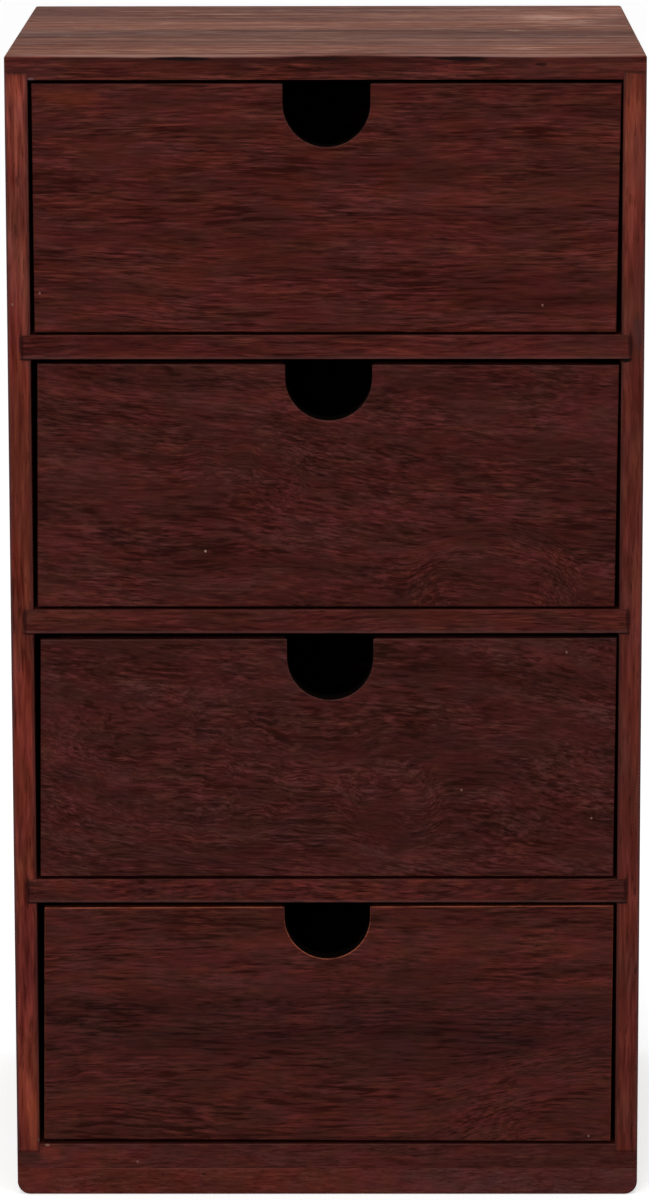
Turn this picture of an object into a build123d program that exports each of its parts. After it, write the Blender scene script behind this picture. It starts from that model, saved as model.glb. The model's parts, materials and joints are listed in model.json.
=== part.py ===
from build123d import *
import os

# A small upright chest of drawers for jewellery, in wood, with finger notches in place of knobs.
# Millimetres. X runs to the right, Y from front to back, Z up. The origin is the middle of the underside.

# Case, outside
WIDTH = 250.0
DEPTH = 220.0

# Boards of the case
TOP_THICK = 9.7
SIDE_THICK = 9.0
SHELF_THICK = 9.5
BOTTOM_THICK = 10.0
BASE_THICK = 11.0
BACK_THICK = 3.0

# Drawer bays, and the finger notches of the top drawer first
BAY_HEIGHT = 100.2
NOTCH_RADIUS = 17.0
NOTCH_DROPS = (9.2, 7.4, 10.0, 6.2)  # from the top of each bay down to the centre of its notch
NOTCH_SHIFTS = (0.4, 1.1, 1.5, 0.2)  # from the middle of each bay to the right

# Joints of the case
DADO_DEPTH = 3.5  # how far the shelves are let into the sides
LAP_DEPTH = 3.3  # how far the sides are let into the top and the bottom
REBATE_WIDTH = 4.5  # ledge that the back panel lies on, all round
BACK_INSET = 1.0  # from the rear of the case to the back panel
BACK_PLAY = 0.3  # room round the edges of the back panel

# Softened edges of the case
TOP_ROUND = 1.2  # left and right edges of the top
BASE_ROUND = 5.2  # left and right edges of the base
ARRIS = 0.8  # outer edges at the front and the rear
BAY_EASE = 0.4  # front edges round the bays

# Drawers
FRONT_THICK = 10.0
FRONT_LIP = 4.0  # what is left of a front over the ends of the side walls
FRONT_RECESS = 0.5  # from the front of the case to the drawer fronts
FRONT_EASE = 0.7  # softened edges of a front
WALL_THICK = 7.0
WALL_DROP = 4.0  # from the top of a bay down to the top edges of the walls
WALL_EASE = 0.8  # softened top edges of the walls
REAR_WALL_THICK = 8.0
REAR_WALL_HOUSING = 3.0  # how far the rear wall is let into the side walls
SHEET_THICK = 3.0  # the drawer's bottom
SHEET_LIFT = 5.0  # from the lower edges of the walls up to the bottom sheet
SHEET_PLAY = 0.5  # room between the sheet's edges and the ends of its grooves
GROOVE_DEPTH = 4.0
GROOVE_PLAY = 0.2  # room over the sheet in its grooves

# Gaps round the drawer fronts, top drawer first: each front was planed to fit its bay, so its gaps taper
LEFT_GAPS = ((1.5, 1.7), (2.6, 1.7), (2.7, 1.6), (3.0, 1.9))  # at the upper and lower ends
RIGHT_GAPS = ((0.7, 2.1), (0.8, 1.9), (0.9, 1.6), (1.3, 1.8))  # at the upper and lower ends
TOP_GAPS = ((1.4, 1.5), (1.9, 2.6), (2.6, 2.1), (2.2, 1.4))  # at the left and right ends
BOTTOM_GAPS = ((1.1, 1.0), (1.2, 1.0), (1.1, 1.0), (1.9, 0.9))  # at the left and right ends

# Running room of the drawers
SIDE_PLAY = 3.0  # beside each wall
RUN_PLAY = 0.3  # under the walls
STOP_PLAY = 0.5  # behind a closed drawer

# Flat-wire brads through the case's sides into the shelves, and through the drawers' side walls
BRAD_WIDTH = 1.25
BRAD_THICK = 1.0
BRAD_LENGTH = 20.0
BRAD_POINT = 1.5  # length of the chisel end
BRAD_SET = 1.0  # how far a head is driven below the surface
SHELF_BRAD_SPACING = 130.0
WALL_BRAD_SPACING = 48.0

# Staples that hold the back panel
STAPLE_CROWN = 6.0
STAPLE_LENGTH = 12.0
STAPLE_WIDTH = 1.2
STAPLE_THICK = 0.7
STAPLE_SPACING = 120.0  # along the top, the shelves and the bottom
WIRE_PLAY = 0.03  # room on each side of a brad or a staple's leg

# Places in the case
bay_width = WIDTH - 2 * SIDE_THICK
bay_step = BAY_HEIGHT + SHELF_THICK
lowest_floor = BASE_THICK + BOTTOM_THICK
floors = [lowest_floor + bay_step * n for n in reversed(range(len(NOTCH_DROPS)))]
shelf_floors = floors[:-1]
ceiling = floors[0] + BAY_HEIGHT
height = ceiling + TOP_THICK
side_low = lowest_floor - LAP_DEPTH
side_high = ceiling + LAP_DEPTH
rebate_depth = BACK_INSET + BACK_THICK
shelf_depth = DEPTH - rebate_depth
shelf_width = bay_width + 2 * DADO_DEPTH
recess_width = bay_width + 2 * REBATE_WIDTH
recess_height = ceiling - lowest_floor + 2 * REBATE_WIDTH
recess_middle = (ceiling + lowest_floor) / 2
front_plane = Plane.XZ.offset(DEPTH / 2)
rear_plane = Plane.XZ.offset(-DEPTH / 2)
back_panel_plane = rear_plane.offset(BACK_INSET)

# Places in a drawer
drawer_width = bay_width - 2 * SIDE_PLAY
drawer_depth = shelf_depth - FRONT_RECESS - STOP_PLAY
inside_width = drawer_width - 2 * WALL_THICK
wall_height = BAY_HEIGHT - RUN_PLAY - WALL_DROP
wall_depth = drawer_depth - FRONT_LIP
groove_height = SHEET_THICK + GROOVE_PLAY
sheet_grip = GROOVE_DEPTH - SHEET_PLAY
sheet_width = inside_width + 2 * sheet_grip
sheet_depth = drawer_depth - FRONT_THICK - REAR_WALL_THICK + 2 * sheet_grip
drawer_plane = front_plane.offset(-FRONT_RECESS)
wall_plane = drawer_plane.offset(-FRONT_LIP)
front_inner_plane = drawer_plane.offset(-FRONT_THICK)
sheet_plane = front_inner_plane.offset(sheet_grip)
drawer_rear_plane = drawer_plane.offset(-drawer_depth)
rear_wall_plane = drawer_rear_plane.offset(REAR_WALL_THICK)

# Places of the fasteners: each is a plane on the surface it is driven into, facing outwards
brad_reach = BRAD_SET + BRAD_LENGTH
brad_bore = (BRAD_WIDTH + 2 * WIRE_PLAY, BRAD_THICK + 2 * WIRE_PLAY)
staple_bore = (STAPLE_THICK + 2 * WIRE_PLAY, STAPLE_WIDTH + 2 * WIRE_PLAY)
leg_spacing = STAPLE_CROWN - STAPLE_THICK
front_brad_y = (wall_plane.origin.Y + front_inner_plane.origin.Y) / 2
rear_brad_y = (rear_wall_plane.origin.Y + drawer_rear_plane.origin.Y) / 2


def outward(side, half_width, y, z):
    """Plane on the left (-1) or right (1) face of a box, facing away from it."""
    return Plane((side * half_width, y, z), x_dir=(0, 1, 0), z_dir=(side, 0, 0))


def rearward(x, z, along):
    """Plane on the rear face of the back panel, facing the rear, with a staple's crown along a direction."""
    return Plane((x, back_panel_plane.origin.Y, z), x_dir=along, z_dir=(0, 1, 0))


shelf_brads = [
    outward(side, WIDTH / 2, y, floor - SHELF_THICK / 2)
    for side in (-1, 1)
    for y in (-SHELF_BRAD_SPACING / 2, SHELF_BRAD_SPACING / 2)
    for floor in shelf_floors
]
staple_columns = (-STAPLE_SPACING / 2, STAPLE_SPACING / 2)
side_columns = (-(bay_width + REBATE_WIDTH) / 2, (bay_width + REBATE_WIDTH) / 2)
across = (1, 0, 0)
upright = (0, 0, 1)
top_staples = [rearward(x, ceiling + REBATE_WIDTH / 2, across) for x in staple_columns]
bottom_staples = [rearward(x, lowest_floor - REBATE_WIDTH / 2, across) for x in staple_columns]
shelf_staples = [
    rearward(x, floor - SHELF_THICK / 2, across) for x in staple_columns for floor in shelf_floors
]
side_staples = [rearward(x, floor + BAY_HEIGHT / 2, upright) for x in side_columns for floor in floors]
staples = top_staples + bottom_staples + shelf_staples + side_staples


def write(builder, name):
    """Label a finished piece and write it to its own file."""
    builder.part.label = name
    export_step(builder.part, f"parts/{name}.step")


def end_edges(builder):
    """Edges round the front and rear faces of the board being built."""
    ends = builder.faces().sort_by(Axis.Y)
    return ends[0].edges() + ends[-1].edges()


os.makedirs("parts", exist_ok=True)

# One brad and one staple, pointing down, with the surface that they are driven into at height 0

with BuildPart() as brad:
    with BuildSketch(Plane.XZ):
        with BuildLine():
            Polyline(
                (-BRAD_WIDTH / 2, -BRAD_SET),
                (BRAD_WIDTH / 2, -BRAD_SET),
                (BRAD_WIDTH / 2, BRAD_POINT - brad_reach),
                (0, -brad_reach),
                (-BRAD_WIDTH / 2, BRAD_POINT - brad_reach),
                close=True,
            )
        make_face()
    extrude(amount=BRAD_THICK / 2, both=True)

with BuildPart() as staple:
    with BuildSketch(Plane.XZ):
        with Locations((0, STAPLE_THICK)):
            Rectangle(STAPLE_CROWN, STAPLE_THICK + STAPLE_LENGTH, align=(Align.CENTER, Align.MAX))
        Rectangle(
            leg_spacing - STAPLE_THICK, STAPLE_LENGTH, align=(Align.CENTER, Align.MAX), mode=Mode.SUBTRACT
        )
    extrude(amount=STAPLE_WIDTH / 2, both=True)

# Recess for the back panel, cut into the rear edges of the top, the bottom and the sides

with BuildSketch(rear_plane) as back_recess:
    with Locations((0, recess_middle)):
        Rectangle(recess_width, recess_height)

# Top panel: its ends lap over the sides

with BuildPart() as top_panel:
    with BuildSketch(front_plane) as top_profile:
        with Locations((0, ceiling)):
            Rectangle(WIDTH, TOP_THICK, align=(Align.CENTER, Align.MIN))
        with Locations((-WIDTH / 2, ceiling), (WIDTH / 2, ceiling)):
            Rectangle(2 * SIDE_THICK, 2 * LAP_DEPTH, mode=Mode.SUBTRACT)
        fillet(top_profile.vertices().group_by(Axis.Y)[-1], TOP_ROUND)
    extrude(amount=-DEPTH)
    fillet(end_edges(top_panel).filter_by_position(Axis.Z, side_high + ARRIS, height + ARRIS), ARRIS)
    fillet(top_panel.edges().filter_by(Axis.X).group_by(Axis.Z)[0].sort_by(Axis.Y)[0], BAY_EASE)
    extrude(back_recess.sketch, amount=rebate_depth, mode=Mode.SUBTRACT)
    with BuildSketch(*top_staples):
        with GridLocations(leg_spacing, 0, 2, 1):
            Rectangle(*staple_bore)
    extrude(amount=-STAPLE_LENGTH, mode=Mode.SUBTRACT)
write(top_panel, "top_panel")

# Bottom panel: the sides stand in rebates in its ends

with BuildPart() as bottom_panel:
    with BuildSketch(front_plane):
        with Locations((0, lowest_floor)):
            Rectangle(WIDTH, BOTTOM_THICK, align=(Align.CENTER, Align.MAX))
        with Locations((-WIDTH / 2, lowest_floor), (WIDTH / 2, lowest_floor)):
            Rectangle(2 * SIDE_THICK, 2 * LAP_DEPTH, mode=Mode.SUBTRACT)
    extrude(amount=-DEPTH)
    corners = bottom_panel.edges().filter_by(Axis.Z).group_by(Axis.X)
    fillet(corners[0] + corners[-1], ARRIS)
    fillet(bottom_panel.edges().filter_by(Axis.X).group_by(Axis.Z)[-1].sort_by(Axis.Y)[0], BAY_EASE)
    extrude(back_recess.sketch, amount=rebate_depth, mode=Mode.SUBTRACT)
    with BuildSketch(*bottom_staples):
        with GridLocations(leg_spacing, 0, 2, 1):
            Rectangle(*staple_bore)
    extrude(amount=-STAPLE_LENGTH, mode=Mode.SUBTRACT)
write(bottom_panel, "bottom_panel")

# Base board, glued under the bottom panel

with BuildPart() as base_board:
    with BuildSketch(front_plane) as base_profile:
        Rectangle(WIDTH, BASE_THICK, align=(Align.CENTER, Align.MIN))
        fillet(base_profile.vertices().group_by(Axis.Y)[0], BASE_ROUND)
    extrude(amount=-DEPTH)
    fillet(end_edges(base_board).filter_by_position(Axis.Z, -ARRIS, BASE_THICK - ARRIS), ARRIS)
write(base_board, "base_board")

# Side panels, with a through dado for each shelf

with BuildPart() as right_side_panel:
    with BuildSketch(front_plane):
        with Locations((WIDTH / 2, side_low)):
            Rectangle(SIDE_THICK, side_high - side_low, align=(Align.MAX, Align.MIN))
        with Locations(*[(bay_width / 2, floor) for floor in shelf_floors]):
            Rectangle(2 * DADO_DEPTH, SHELF_THICK, align=(Align.CENTER, Align.MAX), mode=Mode.SUBTRACT)
    extrude(amount=-DEPTH)
    fillet(right_side_panel.edges().filter_by(Axis.Z).group_by(Axis.X)[-1], ARRIS)
    inner_corners = right_side_panel.edges().filter_by(Axis.Z).group_by(Axis.X)[0]
    fillet(inner_corners.group_by(Axis.Y)[0], BAY_EASE)
    extrude(back_recess.sketch, amount=rebate_depth, mode=Mode.SUBTRACT)
    with BuildSketch(*shelf_brads):
        Rectangle(*brad_bore)
    extrude(amount=-brad_reach, mode=Mode.SUBTRACT)
    with BuildSketch(*side_staples):
        with GridLocations(leg_spacing, 0, 2, 1):
            Rectangle(*staple_bore)
    extrude(amount=-STAPLE_LENGTH, mode=Mode.SUBTRACT)
write(right_side_panel, "right_side_panel")

with BuildPart() as left_side_panel:
    mirror(right_side_panel.part, about=Plane.YZ)
write(left_side_panel, "left_side_panel")

# Shelves, from the front of the case to the back panel

for number, floor in enumerate(shelf_floors, start=1):
    with BuildPart() as shelf:
        with BuildSketch(front_plane):
            with Locations((0, floor)):
                Rectangle(shelf_width, SHELF_THICK, align=(Align.CENTER, Align.MAX))
        extrude(amount=-shelf_depth)
        fillet(shelf.faces().sort_by(Axis.Y)[0].edges().filter_by(Axis.X), BAY_EASE)
        with BuildSketch(*shelf_brads):
            Rectangle(*brad_bore)
        extrude(amount=-brad_reach, mode=Mode.SUBTRACT)
        with BuildSketch(*shelf_staples):
            with GridLocations(leg_spacing, 0, 2, 1):
                Rectangle(*staple_bore)
        extrude(amount=-STAPLE_LENGTH, mode=Mode.SUBTRACT)
    write(shelf, f"shelf_{number}")

# Back panel, in its recess

with BuildPart() as back_panel:
    with BuildSketch(back_panel_plane):
        with Locations((0, recess_middle)):
            Rectangle(recess_width - 2 * BACK_PLAY, recess_height - 2 * BACK_PLAY)
    extrude(amount=BACK_THICK)
    with BuildSketch(*staples):
        with GridLocations(leg_spacing, 0, 2, 1):
            Rectangle(*staple_bore)
    extrude(amount=-STAPLE_LENGTH, mode=Mode.SUBTRACT)
write(back_panel, "back_panel")

# Fasteners of the case

with BuildPart() as case_brads:
    with Locations(*shelf_brads):
        add(brad.part)
write(case_brads, "case_brads")

with BuildPart() as back_panel_staples:
    with Locations(*staples):
        add(staple.part)
write(back_panel_staples, "back_panel_staples")

# Drawers, from the top down

for index, floor in enumerate(floors):
    drawer = f"drawer_{index + 1}"
    bay_top = floor + BAY_HEIGHT
    left_high, left_low = LEFT_GAPS[index]
    right_high, right_low = RIGHT_GAPS[index]
    top_left, top_right = TOP_GAPS[index]
    bottom_left, bottom_right = BOTTOM_GAPS[index]
    wall_low = floor + RUN_PLAY
    wall_middle = wall_low + wall_height / 2
    groove_low = wall_low + SHEET_LIFT
    wall_brads = [
        outward(side, drawer_width / 2, y, wall_middle + rise)
        for side in (-1, 1)
        for y in (front_brad_y, rear_brad_y)
        for rise in (-WALL_BRAD_SPACING / 2, WALL_BRAD_SPACING / 2)
    ]

    # Front: a notch in the top edge, a rebate behind each end and a groove for the bottom sheet
    with BuildPart() as drawer_front:
        with BuildSketch(drawer_plane):
            with BuildLine():
                Polyline(
                    (left_low - bay_width / 2, floor + bottom_left),
                    (bay_width / 2 - right_low, floor + bottom_right),
                    (bay_width / 2 - right_high, bay_top - top_right),
                    (left_high - bay_width / 2, bay_top - top_left),
                    close=True,
                )
            make_face()
            with Locations((NOTCH_SHIFTS[index], bay_top - NOTCH_DROPS[index])):
                Circle(NOTCH_RADIUS, mode=Mode.SUBTRACT)
                Rectangle(2 * NOTCH_RADIUS, BAY_HEIGHT, align=(Align.CENTER, Align.MIN), mode=Mode.SUBTRACT)
        extrude(amount=-FRONT_THICK)
        fillet(drawer_front.faces().sort_by(Axis.Y)[0].edges(), FRONT_EASE)
        with BuildSketch(front_inner_plane):
            with Locations((-bay_width / 2, floor), (bay_width / 2, floor)):
                Rectangle(2 * (SIDE_PLAY + WALL_THICK), BAY_HEIGHT, align=(Align.CENTER, Align.MIN))
        extrude(amount=FRONT_THICK - FRONT_LIP, mode=Mode.SUBTRACT)
        with BuildSketch(front_inner_plane):
            with Locations((0, groove_low)):
                Rectangle(inside_width, groove_height, align=(Align.CENTER, Align.MIN))
        extrude(amount=GROOVE_DEPTH, mode=Mode.SUBTRACT)
        with BuildSketch(*wall_brads):
            Rectangle(*brad_bore)
        extrude(amount=-brad_reach, mode=Mode.SUBTRACT)
    write(drawer_front, f"{drawer}_front")

    # Side walls: a groove along the inside and a housing for the rear wall
    with BuildPart() as right_wall:
        with BuildSketch(wall_plane):
            with Locations((drawer_width / 2, wall_low)):
                Rectangle(WALL_THICK, wall_height, align=(Align.MAX, Align.MIN))
            with Locations((inside_width / 2, groove_low)):
                Rectangle(
                    2 * GROOVE_DEPTH, groove_height, align=(Align.CENTER, Align.MIN), mode=Mode.SUBTRACT
                )
        extrude(amount=-wall_depth)
        chamfer(right_wall.edges().filter_by(Axis.Y).group_by(Axis.Z)[-1], WALL_EASE)
        with BuildSketch(drawer_rear_plane):
            with Locations((inside_width / 2, wall_low)):
                Rectangle(2 * REAR_WALL_HOUSING, wall_height, align=(Align.CENTER, Align.MIN))
        extrude(amount=REAR_WALL_THICK, mode=Mode.SUBTRACT)
        with BuildSketch(*wall_brads):
            Rectangle(*brad_bore)
        extrude(amount=-brad_reach, mode=Mode.SUBTRACT)
    write(right_wall, f"{drawer}_right_wall")

    with BuildPart() as left_wall:
        mirror(right_wall.part, about=Plane.YZ)
    write(left_wall, f"{drawer}_left_wall")

    # Rear wall, in the housings, with the groove carried across it
    with BuildPart() as rear_wall:
        with BuildSketch(drawer_rear_plane):
            with Locations((0, wall_low)):
                Rectangle(inside_width + 2 * REAR_WALL_HOUSING, wall_height, align=(Align.CENTER, Align.MIN))
        extrude(amount=REAR_WALL_THICK)
        chamfer(rear_wall.edges().filter_by(Axis.X).group_by(Axis.Z)[-1], WALL_EASE)
        with BuildSketch(rear_wall_plane):
            with Locations((0, groove_low)):
                Rectangle(drawer_width, groove_height, align=(Align.CENTER, Align.MIN))
        extrude(amount=-GROOVE_DEPTH, mode=Mode.SUBTRACT)
        with BuildSketch(*wall_brads):
            Rectangle(*brad_bore)
        extrude(amount=-brad_reach, mode=Mode.SUBTRACT)
    write(rear_wall, f"{drawer}_rear_wall")

    # Bottom sheet, lying in the grooves
    with BuildPart() as bottom_sheet:
        with BuildSketch(sheet_plane):
            with Locations((0, groove_low)):
                Rectangle(sheet_width, SHEET_THICK, align=(Align.CENTER, Align.MIN))
        extrude(amount=-sheet_depth)
    write(bottom_sheet, f"{drawer}_bottom")

    with BuildPart() as drawer_brads:
        with Locations(*wall_brads):
            add(brad.part)
    write(drawer_brads, f"{drawer}_brads")
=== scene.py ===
import json
import math
from dataclasses import dataclass

import bpy
from mathutils import Color, Matrix, Vector


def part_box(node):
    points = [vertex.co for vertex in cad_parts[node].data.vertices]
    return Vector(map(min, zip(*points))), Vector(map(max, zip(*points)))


# Looks of a small upright chest of drawers in dark red-brown stained wood.
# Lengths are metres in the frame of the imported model, and millimetres where a name or a comment says so.

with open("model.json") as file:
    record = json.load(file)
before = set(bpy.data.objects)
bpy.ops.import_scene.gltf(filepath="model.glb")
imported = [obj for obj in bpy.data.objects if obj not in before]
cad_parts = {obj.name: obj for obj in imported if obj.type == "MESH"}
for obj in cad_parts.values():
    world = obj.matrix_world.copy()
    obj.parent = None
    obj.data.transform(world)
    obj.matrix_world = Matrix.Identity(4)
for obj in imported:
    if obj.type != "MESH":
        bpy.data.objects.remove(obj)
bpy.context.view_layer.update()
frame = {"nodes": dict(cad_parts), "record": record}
nodes = frame["nodes"]

MM = 0.001
PER_METRE = 1000.0  # millimetres in a metre: grain and marks are drawn in millimetres

# Camera

CAMERA_PLACE = (0.0134, -2.3278, 0.6714)
CAMERA_LENS = 171.25
CAMERA_SENSOR = 36.0
CAMERA_PITCH = math.radians(10.899)  # down
CAMERA_YAW = math.radians(-0.364)  # to the right
CAMERA_ROLL = math.radians(0.104)  # clockwise


def place_camera():
    """A long lens a little above the chest, looking down on it."""
    data = bpy.data.cameras.new("camera")
    data.lens = CAMERA_LENS
    data.sensor_width = CAMERA_SENSOR
    camera = bpy.data.objects.new("camera", data)
    bpy.context.scene.collection.objects.link(camera)
    turned = Matrix.Rotation(-CAMERA_YAW, 4, "Z")
    tipped = Matrix.Rotation(math.pi / 2 - CAMERA_PITCH, 4, "X")
    rolled = Matrix.Rotation(-CAMERA_ROLL, 4, "Z")
    camera.matrix_world = Matrix.Translation(CAMERA_PLACE) @ turned @ tipped @ rolled
    bpy.context.scene.camera = camera


# Light and floor

FLOOR_SIZE = 40.0
FLOOR_COLOUR = (0.80, 0.80, 0.80, 1.0)
FLOOR_GLOW = 0.48  # what the camera sees of the floor on top of its lit colour
SKY_COLOUR = (1.0, 1.0, 1.0, 1.0)
SKY_LIGHT = 0.62


@dataclass
class Softbox:
    """A rectangular lamp that looks at a point."""

    name: str
    place: tuple
    aim: tuple
    size: tuple
    power: float


SOFTBOXES = (
    Softbox("overhead", (0.0, -0.35, 1.75), (0.0, 0.0, 0.45), (1.3, 1.0), 7.0),
    Softbox("front", (-0.5, -2.6, 1.3), (0.0, 0.0, 0.25), (1.0, 1.2), 22.0),
)


def seen_directly(tree):
    """Socket that is 1 for what the camera sees, straight or through gloss or glass, and 0 for light."""
    path = tree.nodes.new("ShaderNodeLightPath")
    glossy = tree.nodes.new("ShaderNodeMath")
    glossy.operation = "MAXIMUM"
    tree.links.new(path.outputs["Is Camera Ray"], glossy.inputs[0])
    tree.links.new(path.outputs["Is Glossy Ray"], glossy.inputs[1])
    either = tree.nodes.new("ShaderNodeMath")
    either.operation = "MAXIMUM"
    tree.links.new(glossy.outputs[0], either.inputs[0])
    tree.links.new(path.outputs["Is Transmission Ray"], either.inputs[1])
    return either.outputs[0]


def make_sky():
    """White where it is seen, and a soft even light on the chest."""
    world = bpy.data.worlds.new("sky")
    world.use_nodes = True
    tree = world.node_tree
    background = tree.nodes["Background"]
    background.inputs["Color"].default_value = SKY_COLOUR
    strength = tree.nodes.new("ShaderNodeMapRange")
    strength.inputs["To Min"].default_value = SKY_LIGHT
    tree.links.new(seen_directly(tree), strength.inputs["Value"])
    tree.links.new(strength.outputs["Result"], background.inputs["Strength"])
    bpy.context.scene.world = world


def make_floor():
    """A plain white floor that keeps the chest's shadow."""
    half = FLOOR_SIZE / 2
    mesh = bpy.data.meshes.new("floor")
    points = [(-half, -half, 0), (half, -half, 0), (half, half, 0), (-half, half, 0)]
    mesh.from_pydata(points, [], [(0, 1, 2, 3)])
    floor = bpy.data.objects.new("floor", mesh)
    bpy.context.scene.collection.objects.link(floor)
    material = bpy.data.materials.new("floor_white")
    material.use_nodes = True
    tree = material.node_tree
    shader = tree.nodes["Principled BSDF"]
    shader.inputs["Base Color"].default_value = FLOOR_COLOUR
    shader.inputs["Roughness"].default_value = 1.0
    shader.inputs["Specular IOR Level"].default_value = 0.0
    shader.inputs["Emission Color"].default_value = SKY_COLOUR
    glow = tree.nodes.new("ShaderNodeMath")
    glow.operation = "MULTIPLY"
    glow.inputs[1].default_value = FLOOR_GLOW
    tree.links.new(seen_directly(tree), glow.inputs[0])
    tree.links.new(glow.outputs[0], shader.inputs["Emission Strength"])
    mesh.materials.append(material)


def hang_softbox(box):
    """Hang one lamp and turn it to the point it looks at."""
    data = bpy.data.lights.new(box.name, "AREA")
    data.shape = "RECTANGLE"
    data.size, data.size_y = box.size
    data.energy = box.power
    lamp = bpy.data.objects.new(box.name, data)
    bpy.context.scene.collection.objects.link(lamp)
    view = Vector(box.aim) - Vector(box.place)
    lamp.matrix_world = Matrix.Translation(box.place) @ view.to_track_quat("-Z", "Y").to_matrix().to_4x4()


# Node trees

FULL = 255  # brightest level of a screen colour
MIDDLE = 0.5  # mean of a noise
OPAQUE = 1.0  # fourth value of a colour
MIX_SHARE, MIX_FIRST, MIX_SECOND, MIX_RESULT = 0, 6, 7, 2  # sockets of a Mix node for colours


def linear(tone):
    """Screen colour, from 0 to 255, as the linear colour that shaders take."""
    screen = Color([level / FULL for level in tone])
    return (*screen.from_srgb_to_scene_linear(), OPAQUE)


class Graph:
    """One material's node tree, with short calls for the nodes used here."""

    def __init__(self, name):
        self.material = bpy.data.materials.new(name)
        self.material.use_nodes = True
        self.tree = self.material.node_tree
        self.shader = self.tree.nodes["Principled BSDF"]

    def feed(self, socket, value):
        """Link a socket or set a plain value."""
        if isinstance(value, bpy.types.NodeSocket):
            self.tree.links.new(value, socket)
        else:
            socket.default_value = value

    def add(self, kind, inputs, **settings):
        """New node with its settings and inputs."""
        node = self.tree.nodes.new(kind)
        for key, value in settings.items():
            setattr(node, key, value)
        for socket, value in inputs.items():
            self.feed(node.inputs[socket], value)
        return node

    def math(self, operation, first, second=0.0):
        return self.add("ShaderNodeMath", {0: first, 1: second}, operation=operation).outputs[0]

    def total(self, *values):
        result = values[0]
        for value in values[1:]:
            result = self.math("ADD", result, value)
        return result

    def times(self, *values):
        result = values[0]
        for value in values[1:]:
            result = self.math("MULTIPLY", result, value)
        return result

    def point(self, x, y, z):
        return self.add("ShaderNodeCombineXYZ", {0: x, 1: y, 2: z}).outputs[0]

    def split(self, vector):
        return self.add("ShaderNodeSeparateXYZ", {0: vector}).outputs

    def normal(self):
        """Parts of the true normal, without bump."""
        return self.split(self.add("ShaderNodeNewGeometry", {}).outputs["True Normal"])

    def millimetres(self):
        """Place on the part, as three sockets in millimetres."""
        place = self.add("ShaderNodeTexCoord", {}).outputs["Object"]
        scaled = self.add("ShaderNodeVectorMath", {0: place, 1: (PER_METRE,) * 3}, operation="MULTIPLY")
        return self.split(scaled.outputs[0])

    def noise(self, vector, detail):
        """Smooth noise from 0 to 1, with a grain of one unit."""
        return self.add("ShaderNodeTexNoise", {"Vector": vector, "Scale": 1.0, "Detail": detail}).outputs[0]

    def centred(self, noise, reach=MIDDLE):
        """A noise about zero, up to a reach each way."""
        return self.times(self.math("SUBTRACT", noise, MIDDLE), reach / MIDDLE)

    def step(self, value, low, high, start=0.0, end=1.0):
        """Smooth step of a value between two levels."""
        inputs = {"Value": value, "From Min": low, "From Max": high, "To Min": start, "To Max": end}
        return self.add("ShaderNodeMapRange", inputs, interpolation_type="SMOOTHSTEP").outputs[0]

    def mix(self, share, first, second, how="MIX"):
        """Two colours mixed by a share of the second."""
        inputs = {MIX_SHARE: share, MIX_FIRST: first, MIX_SECOND: second}
        return self.add("ShaderNodeMix", inputs, data_type="RGBA", blend_type=how).outputs[MIX_RESULT]

    def tint(self, colour, factor, share=1.0):
        """A colour multiplied by a factor, wholly or by a share."""
        return self.mix(share, colour, factor, "MULTIPLY")

    def ramp(self, share, tones):
        """Screen colours spread evenly from 0 to 1."""
        node = self.add("ShaderNodeValToRGB", {0: share})
        elements = node.color_ramp.elements
        while len(elements) < len(tones):
            elements.new(MIDDLE)
        for index, tone in enumerate(tones):
            elements[index].position = index / (len(tones) - 1)
            elements[index].color = linear(tone)
        return node.outputs[0]


# Wood

RUBBED_AND_LIT_EDGE = (84, 56, 51)  # usual tone of rubbed edges, also painted highlight on rounded edges that face up


@dataclass
class Mark:
    """A stain, scuff, nick, seam, painted highlight or painted shade: an ellipsoid of another tone, with a
    ragged outline. Millimetres.
    """

    centre: tuple
    reach: tuple
    tone: tuple
    strength: float = 1.0
    ragged: float = 0.35


@dataclass
class Glaze:
    """A place where the stain lies thicker or thinner: the colour of the wood is multiplied. Millimetres."""

    centre: tuple
    reach: tuple
    factor: tuple
    ragged: float = 0.5


@dataclass
class Swirl:
    """A place where the grain swells, as round a knot below the surface, and ripples. Millimetres."""

    centre: tuple
    reach: tuple
    drop: float = 0.0
    ripple: float = 0.0
    ragged: float = 0.1


@dataclass
class Board:
    """How one board is cut and stained. Tones are screen colours, 0 to 255, dark, middle and light."""

    grain: str  # axis along the grain
    seed: float  # number of the board in the block that all are cut from
    tones: tuple
    upper: tuple = ()  # tones of the upper face, painted lighter: partly a real fade of the stain, partly painted light from above
    long: float = 1.0  # length of the strokes of grain, against the usual one
    wide: float = 1.0  # width of the strokes
    band: float = 1.0  # strength of the broad bands
    slope: float = 0.0  # fall of the grain along the board
    sway: float = 4.0  # slow swing of the grain, millimetres
    swirls: tuple = ()
    flame: float = 0.5  # strength of the dark streaks
    edge_wear_and_light_tone: tuple = RUBBED_AND_LIT_EDGE  # tone of the rubbed edges, partly painted highlight, and painted shade on the side panels
    edge_wear_and_light: float = 0.4  # how far the edge tone reaches: rubbing and painted light
    rough: float = 0.55  # roughness of the wax
    glazes: tuple = ()
    marks: tuple = ()
    notch: tuple = ()  # lowest and highest corner of a finger notch, millimetres


@dataclass
class Layer:
    """One size of grain: length and width of its strokes in millimetres."""

    length: float
    width: float
    detail: float  # finer octaves of the noise
    weight: float = 0.0  # share in the tone
    low: float = 0.0  # noise at which its mask starts
    high: float = 1.0  # noise at which its mask is full


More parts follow.
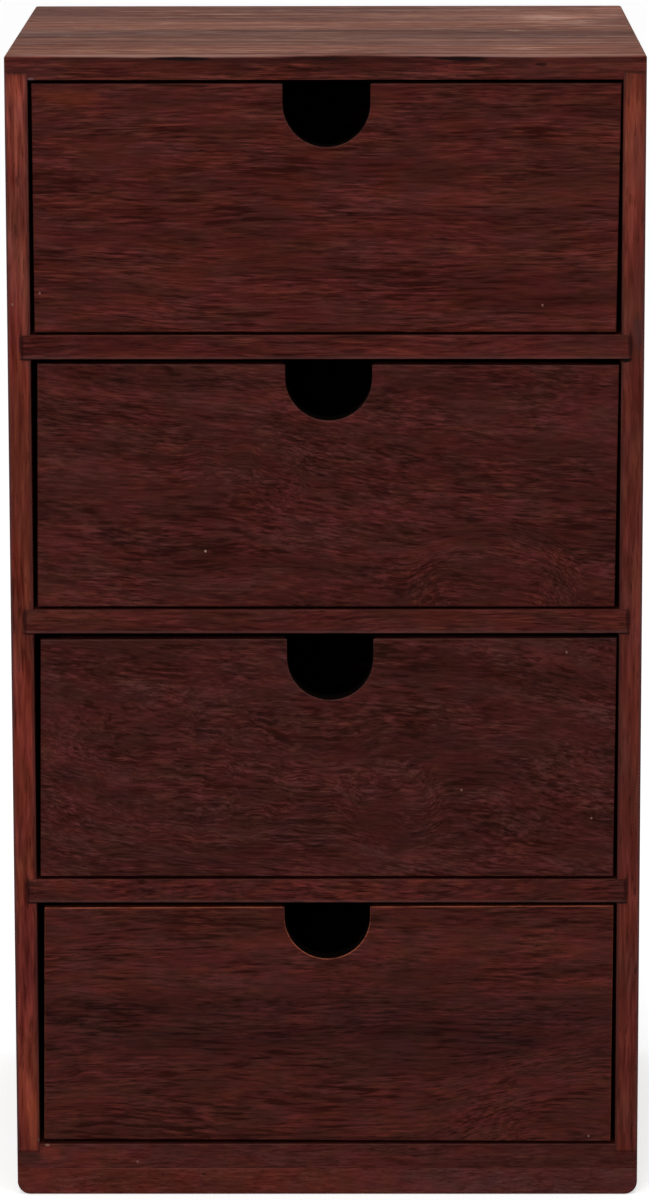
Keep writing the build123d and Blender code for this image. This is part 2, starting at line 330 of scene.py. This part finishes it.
BANDS = Layer(150.0, 9.0, 3.0, weight=1.0)
STREAKS = Layer(14.0, 1.15, 2.0, weight=1.5, low=0.25, high=0.60)
FIBRES = Layer(7.0, 0.5, 1.0, weight=0.9)
FLAMES = Layer(20.0, 1.4, 2.0, low=0.50, high=0.66)  # dark streaks
CLUSTERS = Layer(60.0, 16.0, 2.0, low=0.44, high=0.60)  # where the dark streaks gather
CALM = Layer(42.0, 13.0, 1.0, low=0.36, high=0.62)  # quiet places against lively ones
PORES = Layer(5.0, 0.55, 1.0, low=0.60, high=0.70)
CLOUDS = Layer(26.0, 8.0, 3.0, low=0.38, high=0.62)  # red and brown patches of the stain
HAZE = Layer(19.0, 6.5, 3.0, low=0.38, high=0.62)  # yellow and purple patches of the stain
SWAY = Layer(90.0, 38.0, 1.0)  # slow swing of the grain
RIPPLES = Layer(9.0, 7.0, 1.0)  # short ripple of the grain
SWATHES = Layer(120.0, 5.0, 2.0, weight=1.5)  # bands of the upper face that is painted lighter

AXES = {"X": (0, 2, 1), "Y": (1, 2, 0), "Z": (2, 0, 1)}  # along the grain, then across it
BOARD_STEPS = (171.0, 63.0, 29.0)  # millimetres between two boards in the block they are cut from
LIVELY = (0.6, 1.25)  # strength of the strokes in quiet and in lively places
LIT_FADED_STROKES = 0.8  # strength of the strokes on the upper face that is painted lighter
UPWARD = (0.5, 0.9)  # upward share of the normal, from a side to an upper face
RED = (1.10, 0.97, 0.98, 1.0)
BROWN = (0.91, 1.03, 1.02, 1.0)
YELLOW = (1.0, 1.01, 0.91, 1.0)
PURPLE = (1.0, 0.99, 1.10, 1.0)
TINTS = ((CLOUDS, RED, BROWN), (HAZE, YELLOW, PURPLE))
PORE_SHADE = (0.3, 0.3, 0.3, 1.0)
PORE_STRENGTH = 0.55
PORE_DEPTH = 0.8  # against the height of the strokes
BUMP = 0.35
BUMP_HEIGHT = 0.12 * MM
ROUGHER = 0.12  # added to the roughness of dark strokes
SMOOTHER = 0.05  # taken from the roughness of light strokes
SPECULAR = 0.03
EDGE = (0.01, 0.16)  # what a normal lacks of an axis, from a flat face to a rounded edge
EXPOSED = (-0.15, 0.35)  # upward share of the normal, from a sheltered edge to one that gets rubbed and takes the painted highlight
LEAST_EDGE_WEAR_AND_LIGHT = 0.2
OUTLINE = (1.0, 0.45)  # share of a mark's reach, from its outline to its core
MARK_DETAIL = 4.0
NOTCH_WALL_SHADE = (12, 6, 5)  # painted shade on the walls of the finger notches
CUT_WALL = (0.75, 0.35)  # forward share of the normal, from a front face to a notch's wall
CUT_MARGIN = (1.6, 1.2)  # room round a notch, from outside to inside, millimetres


def inside(g, place, area):
    """1 in the core of an ellipsoid, fading to 0 at its ragged outline."""
    parts = [
        g.math("DIVIDE", g.math("SUBTRACT", axis, middle), reach)
        for axis, middle, reach in zip(place, area.centre, area.reach)
    ]
    radius = g.add("ShaderNodeVectorMath", {0: g.point(*parts)}, operation="LENGTH").outputs["Value"]
    broken = g.centred(g.noise(g.point(*parts), MARK_DETAIL), area.ragged)
    return g.step(g.math("ADD", radius, broken), *OUTLINE)


class Grain:
    """Strokes of noise along the grain of one board, which swings, falls, swells and ripples."""

    def __init__(self, g, place, board):
        self.g = g
        self.board = board
        order = AXES[board.grain]
        self.axes = [g.math("ADD", place[axis], board.seed * step) for axis, step in zip(order, BOARD_STEPS)]
        bend = g.total(g.times(place[order[0]], board.slope), g.centred(self.noise(SWAY), board.sway))
        for swirl in board.swirls:
            swell = g.total(swirl.drop, g.centred(self.noise(RIPPLES), swirl.ripple))
            bend = g.total(bend, g.times(inside(g, place, swirl), swell))
        self.axes[1:] = [g.math("ADD", axis, bend) for axis in self.axes[1:]]

    def noise(self, layer, long=1.0, wide=1.0):
        """Noise of one layer, with its strokes made longer and wider."""
        sizes = (layer.length * long, layer.width * wide, layer.width * wide)
        scaled = [self.g.times(axis, 1 / size) for axis, size in zip(self.axes, sizes)]
        return self.g.noise(self.g.point(*scaled), layer.detail)

    def strokes(self, layer):
        """Noise of one layer at the board's own size of strokes."""
        return self.noise(layer, self.board.long, self.board.wide)

    def weighed(self, layer):
        """Share of one layer in the tone."""
        return self.g.times(self.g.centred(self.strokes(layer)), layer.weight)

    def mask(self, layer, start=0.0, end=1.0):
        """Where one layer shows."""
        return self.g.step(self.strokes(layer), layer.low, layer.high, start, end)


def edge_share(g):
    """1 on rounded edges that face up, 0 on flat faces and on edges that face down."""
    normal = g.normal()
    size = [g.math("ABSOLUTE", part) for part in normal]
    largest = g.math("MAXIMUM", g.math("MAXIMUM", size[0], size[1]), size[2])
    rounded = g.step(g.math("SUBTRACT", 1.0, largest), *EDGE)
    return g.times(rounded, g.step(normal[2], *EXPOSED))


def notch_share(g, place, notch):
    """1 on the walls of a finger notch, where the shade is painted."""
    low, high = notch
    outside, within = CUT_MARGIN
    half = (high[0] - low[0]) / 2  # of a square inside the notch's round bottom
    radius = half * math.sqrt(2)
    wall = g.step(g.math("ABSOLUTE", g.normal()[1]), *CUT_WALL)
    aside = g.math("ABSOLUTE", g.math("SUBTRACT", place[0], low[0] + half))
    near = g.step(aside, radius + outside, radius + within)
    bottom = low[2] + half - radius
    above = g.step(place[2], bottom - outside, bottom - within)
    return g.times(wall, near, above)


def stain(g, grain, board, tone, fine):
    """Colour of the stained wood: tones along the grain, two tints, and an upper face painted lighter,
    partly a real fade of the stain and partly painted light from above.
    """
    colour = g.ramp(tone, board.tones)
    for layer, first, second in TINTS:
        colour = g.tint(colour, g.mix(grain.mask(layer), first, second))
    # painted light: faces that look up get lighter tones, partly for the light from above, partly a real
    # fade
    if board.upper:
        lit_upper_tone = g.total(MIDDLE, grain.weighed(SWATHES), g.times(fine, LIT_FADED_STROKES))
        colour = g.mix(g.step(g.normal()[2], *UPWARD), colour, g.ramp(lit_upper_tone, board.upper))
    return colour


def age(g, place, grain, board, colour):
    """The colour after years of use, with painted light added: uneven stain, marks (some are painted
    highlight or painted shade), rubbing and painted highlight on edges that face up, and painted shade on a
    notch's walls.
    """
    for glaze in board.glazes:
        colour = g.tint(colour, (*glaze.factor, OPAQUE), inside(g, place, glaze))
    for mark in board.marks:
        colour = g.mix(g.times(inside(g, place, mark), mark.strength), colour, linear(mark.tone))
    # painted highlight, together with real rubbing, on rounded edges that face up
    edge_wear_and_light_share = g.times(edge_share(g), grain.mask(STREAKS, LEAST_EDGE_WEAR_AND_LIGHT, board.edge_wear_and_light))
    colour = g.mix(edge_wear_and_light_share, colour, linear(board.edge_wear_and_light_tone))
    # painted shade on the walls of the finger notch
    if board.notch:
        colour = g.mix(notch_share(g, place, board.notch), colour, linear(NOTCH_WALL_SHADE))
    return colour


def wood(name, board):
    """Stained open-pored wood, cut from a solid block so that the grain runs through from face to face."""
    g = Graph(name)
    place = g.millimetres()
    grain = Grain(g, place, board)

    lively = grain.mask(CALM, *LIVELY)
    broad = g.times(grain.weighed(BANDS), board.band)
    fine = g.times(g.total(grain.weighed(STREAKS), grain.weighed(FIBRES)), lively)
    flames = g.times(grain.mask(FLAMES), grain.mask(CLUSTERS), -board.flame)
    tone = g.total(MIDDLE, broad, fine, flames)
    pores = g.times(grain.mask(PORES), lively)

    stained = stain(g, grain, board, tone, fine)
    open_pored = g.tint(stained, PORE_SHADE, g.times(pores, PORE_STRENGTH))
    rough = g.step(tone, 0.0, 1.0, board.rough + ROUGHER, board.rough - SMOOTHER)
    height = g.math("SUBTRACT", tone, g.times(pores, PORE_DEPTH))
    bump = g.add("ShaderNodeBump", {"Strength": BUMP, "Distance": BUMP_HEIGHT, "Height": height})
    g.feed(g.shader.inputs["Base Color"], age(g, place, grain, board, open_pored))
    g.feed(g.shader.inputs["Roughness"], rough)
    g.feed(g.shader.inputs["Normal"], bump.outputs[0])
    g.shader.inputs["Specular IOR Level"].default_value = SPECULAR
    return g.material


# Steel

STEEL_TONES = ((96, 92, 88), (176, 174, 170))
STEEL_CLOUDS = (0.3, 0.7)
STEEL_ROUGH = (0.28, 0.5)
STEEL_DETAIL = 3.0


def steel(name):
    """Drawn wire, a little dulled."""
    g = Graph(name)
    cloud = g.noise(g.point(*g.millimetres()), STEEL_DETAIL)
    g.feed(g.shader.inputs["Base Color"], g.ramp(cloud, STEEL_TONES))
    g.feed(g.shader.inputs["Roughness"], g.step(cloud, *STEEL_CLOUDS, *STEEL_ROUGH))
    g.shader.inputs["Metallic"].default_value = 1.0
    return g.material


# Places on the chest, in millimetres


def corners(node):
    """Lowest and highest corner of a node at rest."""
    return [[value * PER_METRE for value in corner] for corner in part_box(node)]


FRONT = corners("left_side_panel")[0][1]  # front faces of the case
TOP = corners("top_panel")[1][2]
SHELVES = ("shelf_1", "shelf_2", "shelf_3")
FAR = 1000.0  # longer than any board
DEEP = 4.0  # how far an edge stain reaches into a board
SKIN = 2.0  # how far a nick or a chip reaches into a board

# Tones of the marks, painted highlight and painted shade among them

SEAM = (34, 9, 8)
LAP = (44, 22, 18)
# near-black painted shade beside the gaps
GAP_SHADE = (8, 3, 3)
# painted shade on the rounded outer edges of the side panels
SIDE_EDGE_SHADE = (74, 44, 42)
# painted shade on the inner edges of the side panels, next to the gaps
INNER_EDGE_SHADE = (54, 28, 25)
# painted highlight on the shelves' lower front arris
SHELF_EDGE_HIGHLIGHT = (84, 58, 55)
SIDE_STAIN = (58, 34, 35)
FOOT_STAIN = (50, 27, 23)
THIN_STAIN = (96, 40, 22)
# painted highlight along the top arris of the base board
BASE_EDGE_HIGHLIGHT = (100, 54, 48)
# pale front arris of the top: partly wear, partly painted highlight
TOP_ARRIS_WEAR_AND_HIGHLIGHT = (152, 114, 104)
TOP_SHADE = (44, 16, 13)
SCUFF = (190, 152, 138)
CHIP = (20, 8, 8)
NICK = (120, 84, 76)
GREY_NICK = (100, 74, 78)
PALE_NICK = (136, 104, 94)
BARE_NICK = (156, 130, 116)

# Nicks and scratches

NICK_REACH = (0.55, SKIN, 0.7)
NICK_STRENGTH = 0.9
NICK_RAGGED = 0.2
SCRATCH_HALF = 1.7  # half width
SCRATCH_SHIFTS = (0.1, -0.25, 0.3, -0.1, 0.2)  # of a scratch along its length, against its length
SCRATCH_STRENGTH = 0.42
SCRATCH_RAGGED = 0.9


def nick(x, z, tone=NICK):
    """A small dent that shows pale wood on a front face."""
    return Mark((x, FRONT, z), NICK_REACH, tone, NICK_STRENGTH, NICK_RAGGED)


def scratches(centre, length, spread, count):
    """Thin pale scratches side by side on the top, each a little askew of the last."""
    marks = []
    for index in range(count):
        aside = length * SCRATCH_SHIFTS[index % len(SCRATCH_SHIFTS)]
        across = spread * (2 * index + 1 - count) / (2 * count)
        place = (centre[0] + aside, centre[1] + across, TOP)
        reach = (length / 2, SCRATCH_HALF, DEEP)
        marks.append(Mark(place, reach, SCUFF, SCRATCH_STRENGTH, SCRATCH_RAGGED))
    return marks


# Lines along edges and joints


@dataclass
class Line:
    """A dark or pale line on a front face. Half width and depth are in millimetres."""

    half_width: float
    tone: tuple
    strength: float
    ragged: float
    depth: float = DEEP

    def upright(self, x, z, half_length):
        """Mark of a line that goes up and down."""
        reach = (self.half_width, self.depth, half_length)
        return Mark((x, FRONT, z), reach, self.tone, self.strength, self.ragged)

    def level(self, x, z, half_length):
        """Mark of a line that goes left and right."""
        reach = (half_length, self.depth, self.half_width)
        return Mark((x, FRONT, z), reach, self.tone, self.strength, self.ragged)


OUTER_SHADE_LINE = Line(1.4, SIDE_EDGE_SHADE, strength=0.65, ragged=0.3)
INNER_SHADE_LINE = Line(1.3, INNER_EDGE_SHADE, strength=0.6, ragged=0.4)
UPPER_LAP = Line(1.4, LAP, strength=0.8, ragged=0.4)
LOWER_LAP = Line(1.2, SEAM, strength=0.6, ragged=0.2)
LAP_HALF = 8.0  # half length
DADO_END = Line(1.2, SEAM, strength=0.85, ragged=0.5)  # on a side, where a shelf ends in it
DADO_OVERRUN = 1.6  # against the shelf's thickness
DADO_FLOOR = Line(0.9, SEAM, strength=0.95, ragged=0.3)  # on a side, under the end of a shelf
DADO_HALF = 3.2  # half length
SHELF_END = Line(1.2, SEAM, strength=0.8, ragged=0.5)
SHELF_END_HALF = 8.0  # half length
SHELF_ARRIS_HIGHLIGHT = Line(0.8, SHELF_EDGE_HIGHLIGHT, strength=0.3, ragged=0.5, depth=SKIN)
SHELF_ARRIS_RISE = 0.5  # over the shelf's lower face
GAP_SHADE_LINE = Line(0.9, GAP_SHADE, strength=0.9, ragged=0.9, depth=SKIN)


def side_marks(side):
    """Painted shade along the outer and inner edges of a side panel, and the seams where shelves and laps
    end on it.
    """
    low, high = corners(side)
    left = high[0] < 0
    outer, inner = (low[0], high[0]) if left else (high[0], low[0])
    middle = (outer + inner) / 2
    marks = [
        OUTER_SHADE_LINE.upright(outer, 0.0, FAR),
        INNER_SHADE_LINE.upright(inner, 0.0, FAR),
        UPPER_LAP.level(middle, high[2], LAP_HALF),
        LOWER_LAP.level(middle, low[2], LAP_HALF),
    ]
    for shelf in SHELVES:
        bottom, top = corners(shelf)
        end = bottom[0] if left else top[0]
        half = (top[2] - bottom[2]) / 2
        marks.append(DADO_END.upright(end, bottom[2] + half, DADO_OVERRUN * half))
        marks.append(DADO_FLOOR.level((end + inner) / 2, bottom[2], DADO_HALF))
    return marks


def shelf_marks(shelf):
    """A painted highlight along the lower edge, and dark seams at both ends, where the shelf is let into the
    sides.
    """
    low, high = corners(shelf)
    middle = (low[2] + high[2]) / 2
    return [
        SHELF_ARRIS_HIGHLIGHT.level(0.0, low[2] + SHELF_ARRIS_RISE, FAR),
        SHELF_END.upright(low[0], middle, SHELF_END_HALF),
        SHELF_END.upright(high[0], middle, SHELF_END_HALF),
    ]


def gap_shade_edge(front, z, half_length):
    """Near-black painted shade on the right edge of a drawer's front, beside the gap."""
    return GAP_SHADE_LINE.upright(corners(front)[1][0], z, half_length)


# Boards of the chest

TOP_GLAZES = (
    # dark rear left corner
    Glaze((-118.0, 92.0, TOP), (60.0, 60.0, DEEP), (0.8, 0.7, 0.68)),
    # light and dark bands from the middle to the front
    Glaze((-10.0, 18.0, TOP), (220.0, 26.0, DEEP), (1.18, 1.16, 1.14)),
    Glaze((0.0, -22.0, TOP), (260.0, 30.0, DEEP), (0.7, 0.66, 0.62)),
    Glaze((-10.0, -56.0, TOP), (60.0, 22.0, DEEP), (0.82, 0.76, 0.72)),
    Glaze((0.0, -92.0, TOP), (FAR, 30.0, DEEP), (1.14, 1.1, 1.04)),
    Glaze((90.0, -92.0, TOP), (50.0, 26.0, DEEP), (1.16, 1.18, 1.18)),
    # darker rear, and the rubbed place at the right
    Glaze((-30.0, 100.0, TOP), (150.0, 46.0, DEEP), (0.9, 0.86, 0.86)),
    Glaze((80.0, 70.0, TOP), (70.0, 46.0, DEEP), (1.18, 1.22, 1.26)),
    Glaze((97.0, 45.0, TOP), (34.0, 44.0, DEEP), (1.25, 1.4, 1.5), ragged=0.8),
    Glaze((93.0, 50.0, TOP), (20.0, 16.0, DEEP), (1.4, 1.5, 1.6), ragged=1.1),
    Glaze((122.0, 96.0, TOP), (12.0, 14.0, DEEP), (1.6, 1.8, 2.0), ragged=0.8),
    # lighter left end of the front edge
    Glaze((-120.0, FRONT, 440.0), (30.0, DEEP, 30.0), (1.15, 1.15, 1.15)),
)
TOP_MARKS = (
    *scratches((91.0, 50.0), length=18.0, spread=16.0, count=7),
    *scratches((103.0, 30.0), length=14.0, spread=20.0, count=5),
    *scratches((77.0, -7.0), length=8.0, spread=5.0, count=2),
    *scratches((78.0, -84.0), length=20.0, spread=9.0, count=3),
    # pale front arris, partly wear and partly painted highlight, and the painted shade under it
    Mark((70.0, FRONT, TOP), (75.0, 2.2, 1.4), TOP_ARRIS_WEAR_AND_HIGHLIGHT, strength=0.75, ragged=0.7),
    Mark((-72.0, FRONT, TOP), (80.0, 2.4, 1.5), TOP_ARRIS_WEAR_AND_HIGHLIGHT, strength=0.85, ragged=0.6),
    Mark((0.0, FRONT, TOP - 2.0), (FAR, DEEP, 1.6), TOP_SHADE, strength=0.6, ragged=0.4),
    # chips along the front arris
    Mark((-56.0, FRONT, TOP - 1.5), (15.0, SKIN, 1.2), CHIP, strength=1.0, ragged=0.6),
    Mark((-2.0, FRONT, TOP - 1.4), (16.0, SKIN, 0.9), CHIP, strength=0.7, ragged=0.8),
    Mark((53.0, FRONT, TOP - 1.6), (13.0, SKIN, 1.3), CHIP, strength=1.0, ragged=0.6),
    Mark((84.0, FRONT, TOP - 3.8), (3.0, SKIN, 1.0), CHIP, strength=0.8, ragged=0.4),
    Mark((-114.6, FRONT, TOP - 9.3), (1.6, SKIN, 0.8), GREY_NICK, strength=0.7, ragged=0.3),
)
LEFT_GLAZES = (
    Glaze((-120.5, FRONT, 415.0), (30.0, 30.0, 80.0), (1.15, 1.38, 1.55)),
    Glaze((-119.5, FRONT, 446.0), (6.0, 12.0, 9.0), (1.35, 1.4, 1.3)),
    Glaze((-119.0, FRONT, 42.0), (6.0, 12.0, 36.0), (1.45, 1.7, 1.45), ragged=0.7),
    Glaze((-121.0, FRONT, 96.0), (9.0, 12.0, 28.0), (0.74, 0.72, 0.8), ragged=0.8),
    Glaze((-118.5, FRONT, 30.0), (4.0, 12.0, 16.0), (1.25, 1.35, 1.2), ragged=0.7),
)
LEFT_MARKS = (
    Mark((-116.3, FRONT, 22.8), (0.7, SKIN, 1.0), NICK, strength=0.8, ragged=0.3),
    nick(-122.8, 362.4),
)
RIGHT_GLAZES = (
    Glaze((120.5, FRONT, 400.0), (16.0, 30.0, 70.0), (1.35, 1.4, 1.35)),
    Glaze((120.0, FRONT, 424.0), (8.0, 16.0, 34.0), (1.35, 1.4, 1.3)),
)
RIGHT_MARKS = (
    Mark((122.5, FRONT, 351.0), (2.6, DEEP, 9.0), SIDE_STAIN, strength=0.6, ragged=0.6),
    # near-black painted shade on the right side's inner edge, beside the gap
    Mark((117.6, FRONT, 340.2), (2.9, SKIN, 1.4), GAP_SHADE, strength=1.0, ragged=0.1),
)
BOTTOM_GLAZES = (
    Glaze((-112.0, FRONT, 16.4), (6.0, DEEP, 5.5), (1.5, 1.2, 1.1), ragged=1.0),
    Glaze((-96.0, FRONT, 17.0), (26.0, 12.0, 9.0), (1.12, 1.02, 1.0), ragged=0.8),
)
BOTTOM_MARKS = (
    Mark((-121.0, FRONT, 15.6), (7.5, DEEP, 4.6), FOOT_STAIN, strength=0.65, ragged=0.4),
    Mark((-112.8, FRONT, 20.6), (1.2, SKIN, 0.6), PALE_NICK, strength=0.7, ragged=0.3),
    nick(-76.5, 13.7),
)
BASE_GLAZES = (
    Glaze((90.0, FRONT, 5.0), (90.0, 40.0, 30.0), (0.9, 1.2, 1.5)),
    Glaze((-118.0, FRONT, 4.0), (34.0, 30.0, 20.0), (1.25, 1.25, 1.35), ragged=0.8),
)
# painted highlight along the base board's top arris
BASE_MARKS = (Mark((-62.0, FRONT, 11.0), (70.0, DEEP, 0.9), BASE_EDGE_HIGHLIGHT, strength=0.5, ragged=0.5),)

BOARDS = {
    "top_panel": Board(
        grain="X",
        seed=1.0,
        tones=((38, 10, 7), (68, 28, 23), (102, 46, 38)),
        # upper face painted lighter: partly painted light from above, partly a real fade of the stain
        upper=((60, 18, 5), (96, 50, 34), (138, 93, 74)),
        band=1.6,
        sway=3.0,
        edge_wear_and_light_tone=(116, 74, 62),
        edge_wear_and_light=0.5,
        glazes=TOP_GLAZES,
        marks=TOP_MARKS,
    ),
    "left_side_panel": Board(
        grain="Z",
        seed=2.0,
        tones=((66, 20, 13), (93, 37, 28), (120, 54, 42)),
        long=1.6,
        wide=1.7,
        sway=2.0,
        edge_wear_and_light_tone=SIDE_EDGE_SHADE,
        edge_wear_and_light=0.9,
        glazes=LEFT_GLAZES,
        marks=(*LEFT_MARKS, *side_marks("left_side_panel")),
    ),
    "right_side_panel": Board(
        grain="Z",
        seed=3.0,
        tones=((60, 22, 15), (79, 33, 26), (100, 47, 38)),
        long=1.6,
        wide=1.7,
        sway=2.0,
        edge_wear_and_light_tone=SIDE_EDGE_SHADE,
        edge_wear_and_light=0.9,
        glazes=RIGHT_GLAZES,
        marks=(*side_marks("right_side_panel"), *RIGHT_MARKS),
    ),
    "shelf_1": Board(
        grain="X",
        seed=4.0,
        tones=((42, 12, 9), (67, 26, 22), (95, 42, 35)),
        marks=shelf_marks("shelf_1"),
    ),
    "shelf_2": Board(
        grain="X",
        seed=5.0,
        tones=((42, 12, 9), (64, 26, 21), (88, 40, 33)),
        marks=shelf_marks("shelf_2"),
    ),
    "shelf_3": Board(
        grain="X",
        seed=6.0,
        tones=((40, 12, 9), (65, 26, 22), (92, 40, 34)),
        long=0.6,
        marks=shelf_marks("shelf_3"),
    ),
    "bottom_panel": Board(
        grain="X",
        seed=7.0,
        tones=((49, 18, 15), (66, 28, 24), (85, 40, 35)),
        long=0.6,
        flame=0.3,
        glazes=BOTTOM_GLAZES,
        marks=BOTTOM_MARKS,
    ),
    "base_board": Board(
        grain="X",
        seed=8.0,
        tones=((62, 22, 15), (77, 32, 26), (94, 44, 35)),
        long=0.5,
        flame=0.2,
        glazes=BASE_GLAZES,
        marks=BASE_MARKS,
    ),
    "back_panel": Board(
        grain="Z",
        seed=9.0,
        tones=((44, 25, 19), (64, 38, 29), (84, 54, 42)),
        rough=0.7,
    ),
}
FRONTS = (
    Board(
        grain="X",
        seed=11.0,
        tones=((42, 11, 7), (66, 26, 21), (93, 41, 36)),
        slope=0.01,
        marks=(
            Mark((-100.0, FRONT, 443.0), (16.0, DEEP, 5.0), THIN_STAIN, strength=0.4, ragged=0.7),
            gap_shade_edge("drawer_1_front", 366.0, 13.0),
            nick(-112.1, 366.7),
            nick(84.9, 361.8),
        ),
    ),
    Board(
        grain="X",
        seed=12.0,
        tones=((38, 11, 8), (60, 24, 20), (85, 39, 35)),
        long=0.75,
        slope=0.10,
        sway=6.0,
        swirls=(
            Swirl((66.0, FRONT, 250.0), (38.0, FAR, 30.0), drop=-8.5, ripple=0.8),
            Swirl((-31.0, FRONT, 295.0), (30.0, FAR, 18.0), drop=-3.0, ripple=1.6, ragged=0.4),
        ),
        marks=(nick(-47.7, 263.9, BARE_NICK),),
    ),
    Board(
        grain="X",
        seed=13.0,
        tones=((38, 12, 8), (58, 24, 21), (83, 41, 37)),
        long=0.7,
        slope=0.12,
        sway=7.0,
        swirls=(
            Swirl((-45.0, FRONT, 172.0), (84.0, FAR, 44.0), drop=6.0, ripple=1.8, ragged=0.4),
            Swirl((26.0, FRONT, 160.0), (24.0, FAR, 24.0), drop=5.5, ripple=1.0),
        ),
        marks=(nick(95.2, 223.1), nick(53.7, 167.1), nick(105.5, 155.6)),
    ),
    Board(
        grain="X",
        seed=14.0,
        tones=((41, 13, 9), (66, 28, 23), (90, 39, 34)),
        long=0.8,
        swirls=(Swirl((140.0, FRONT, 26.0), (110.0, FAR, 52.0), drop=-10.0, ripple=0.4),),
        edge_wear_and_light_tone=(150, 80, 56),
        edge_wear_and_light=0.85,
        glazes=(Glaze((0.0, FRONT, 68.0), (200.0, 40.0, 28.0), (0.68, 0.74, 0.82), ragged=0.7),),
        marks=(gap_shade_edge("drawer_4_front", 50.0, 16.0), nick(105.3, 24.2)),
    ),
)
WALL_TONES = ((32, 17, 14), (46, 25, 20), (62, 35, 28))
SHEET_TONES = ((34, 19, 15), (48, 28, 22), (64, 39, 30))
WALL = Board(grain="Y", seed=20.0, tones=WALL_TONES, rough=0.7)
REAR_WALL = Board(grain="X", seed=24.0, tones=WALL_TONES, rough=0.7)
SHEET = Board(grain="X", seed=28.0, tones=SHEET_TONES, rough=0.75)


def notch_of(drawer):
    """Lowest and highest corner of a drawer's finger notch, in millimetres."""
    openings = frame["record"]["physics"]["openings"]
    box = next(opening["box_m"] for opening in openings if opening["name"] == f"{drawer}_finger_notch")
    return [[value * PER_METRE for value in corner] for corner in box]


def dress(node, material):
    """Give a node one material."""
    slots = nodes[node].data.materials
    slots.clear()
    slots.append(material)


place_camera()
make_sky()
make_floor()
for box in SOFTBOXES:
    hang_softbox(box)

for node, board in BOARDS.items():
    dress(node, wood(node, board))
wire = steel("wire")
dress("case_brads", wire)
dress("back_panel_staples", wire)
wall = wood("drawer_wall", WALL)
drawer_materials = {
    "left_wall": wall,
    "right_wall": wall,
    "rear_wall": wood("drawer_rear_wall", REAR_WALL),
    "bottom": wood("drawer_bottom", SHEET),
    "brads": wire,
}
for number, board in enumerate(FRONTS, start=1):
    drawer = f"drawer_{number}"
    board.notch = notch_of(drawer)
    dress(f"{drawer}_front", wood(f"{drawer}_front", board))
    for piece, material in drawer_materials.items():
        dress(f"{drawer}_{piece}", material)

bpy.context.scene.view_settings.view_transform = "Standard"
